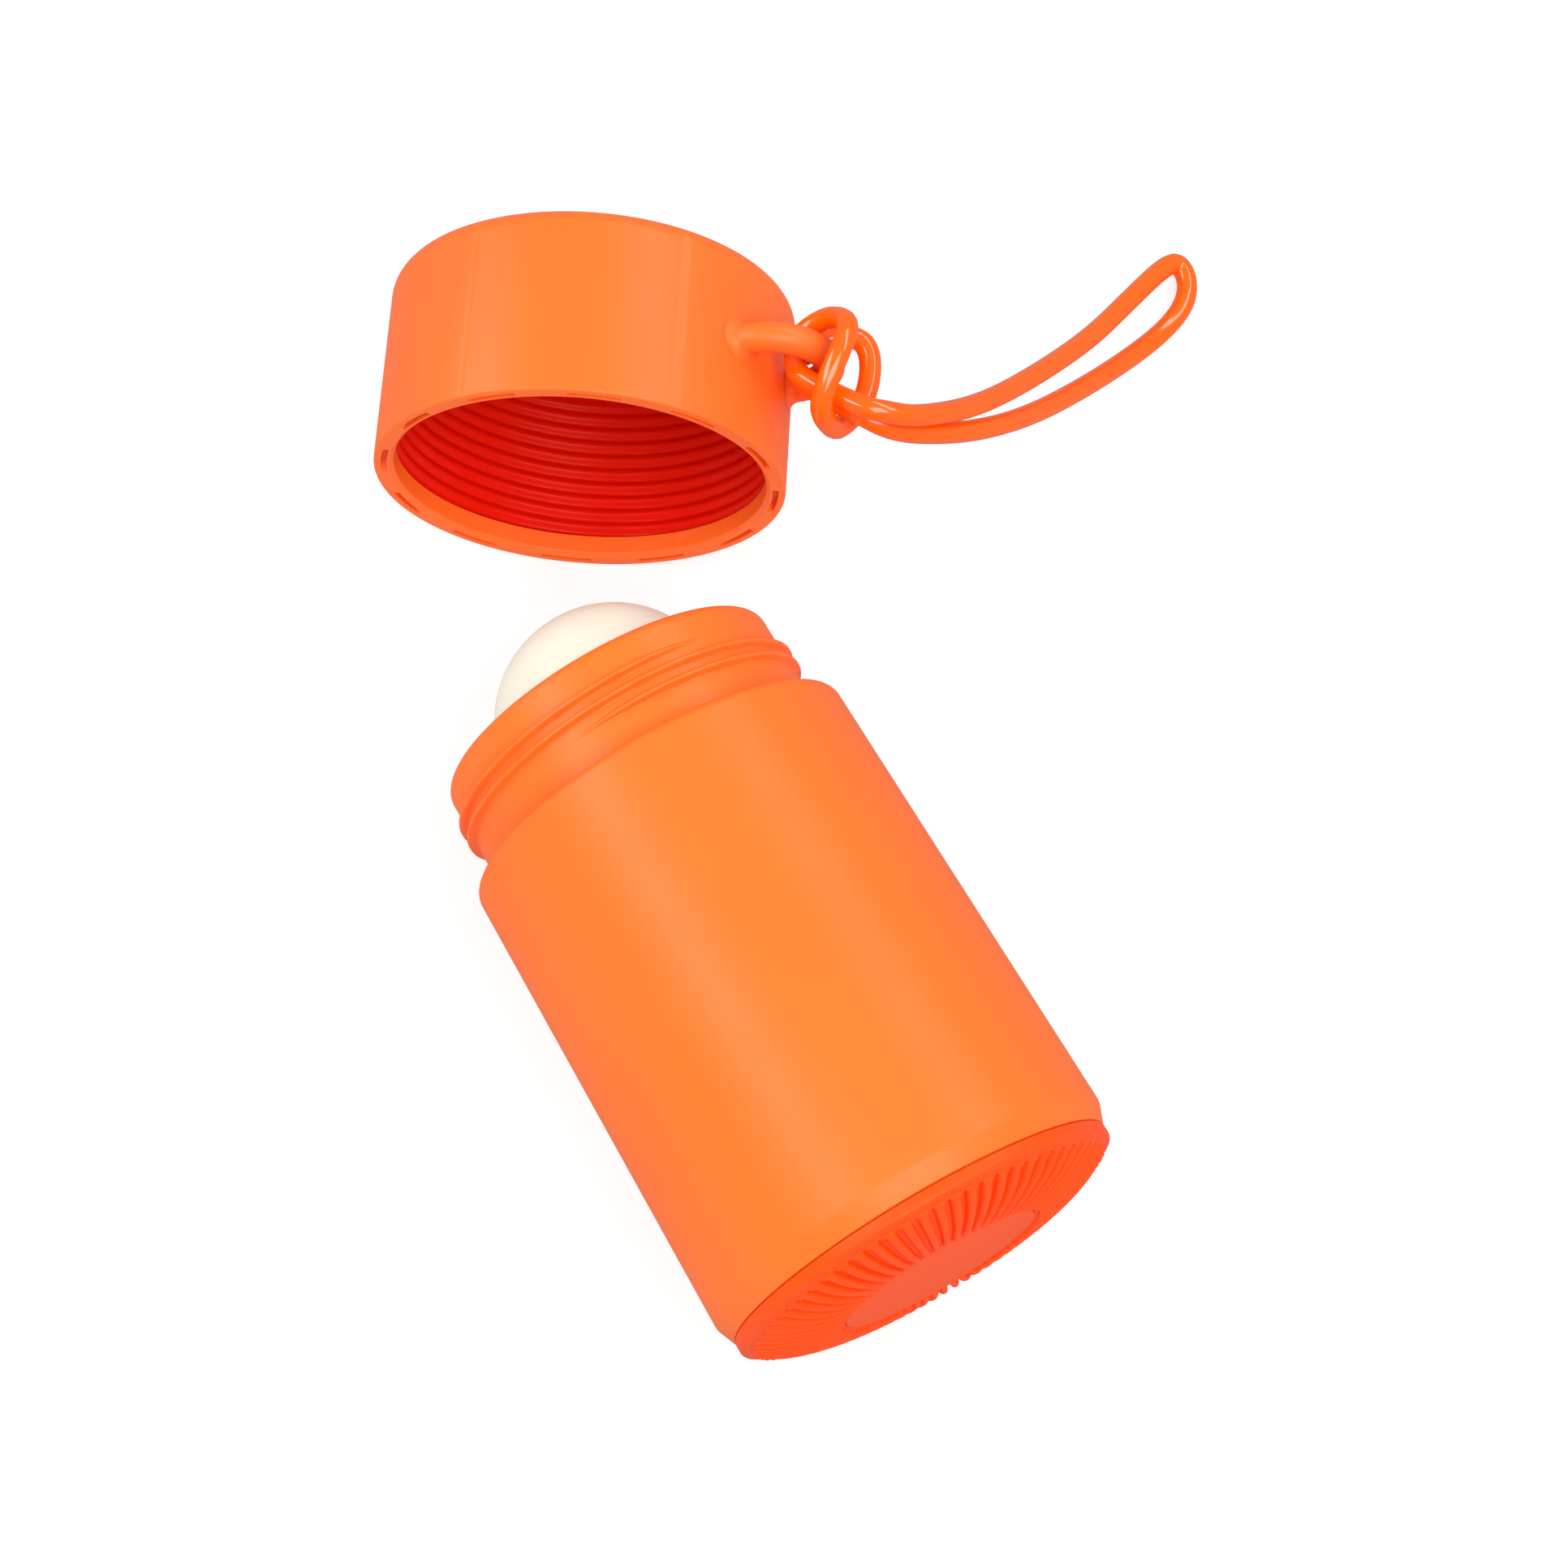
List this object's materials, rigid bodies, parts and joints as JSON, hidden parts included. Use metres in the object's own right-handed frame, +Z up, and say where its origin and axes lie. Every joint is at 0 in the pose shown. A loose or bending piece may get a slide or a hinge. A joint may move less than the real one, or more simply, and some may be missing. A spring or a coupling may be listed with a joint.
{
  "type": "refillable roll-on applicator bottle",
  "caption": "Refillable roll-on applicator lying on its side, with its screw cap off beside it, a ribbed twist base and a cord loop hitched to the cap's lug.",
  "frame": {"origin": "on the floor under the middle of the laid-out bottle and cap, the cord left out", "axes": "+Z up from the floor, +Y along the bottle from its ribbed base to its ball, +X toward the side the cap lies on"},
  "size_m": [0.1284, 0.1399, 0.051],
  "materials": {
    "sleeve_orange": "satin moulded plastic",
    "cap_orange": "satin moulded plastic",
    "base_orange": "satin moulded plastic",
    "badge_orange": "plain matt disc",
    "liner_orange": "glossy moulded thread",
    "ball_cream": "smooth fine-matt ball",
    "housing_white": "smooth",
    "vessel_natural": "smooth",
    "seal_natural": "smooth",
    "cord_orange": "glossy soft plastic"
  },
  "bodies": {
    "bottle": {"outer_sleeve": "sleeve_orange"},
    "refill": {"refill_vessel": "vessel_natural", "ball_housing": "housing_white"},
    "base": {"base_foot": "base_orange", "base_badge": "badge_orange"},
    "ball": {"roller_ball": "ball_cream"},
    "cap_carrier": {"cap_seal": "seal_natural"},
    "cap": {"cap_shell": "cap_orange", "cap_liner": "liner_orange"},
    "cord": {"cord_loop": "cord_orange"}
  },
  "joints": [
    {"name": "refill_slide", "type": "slide", "parent": "bottle", "child": "refill", "axis": [0, -1, 0], "range_m": [0, 0.08]},
    {"name": "base_turn", "type": "hinge", "parent": "refill", "child": "base", "pos_m": [-0.0101, -0.062, 0.0255], "axis": [0, 1, 0], "range_deg": [0, 90]},
    {"name": "ball_spin", "type": "hinge", "parent": "refill", "child": "ball", "pos_m": [-0.0101, 0.00694, 0.0255], "axis": [1, 0, 0], "continuous": true},
    {"name": "cap_swing", "type": "hinge", "parent": "bottle", "child": "cap_carrier", "pos_m": [0.0605, -0.00236, 0.0252], "axis": [0, 0, 1], "range_deg": [0, 33.5]},
    {"name": "cap_turn", "type": "hinge", "parent": "cap_carrier", "child": "cap", "pos_m": [0.00163, 0.0366, 0.0252], "axis": [-0.5519, -0.8339, 0], "range_deg": [0, 720]},
    {"name": "cord_swing", "type": "hinge", "parent": "cap", "child": "cord", "pos_m": [0.0322, 0.0313, 0.0397], "axis": [-0.3786, 0.2506, 0.891], "range_deg": [-30, 0]}
  ]
}
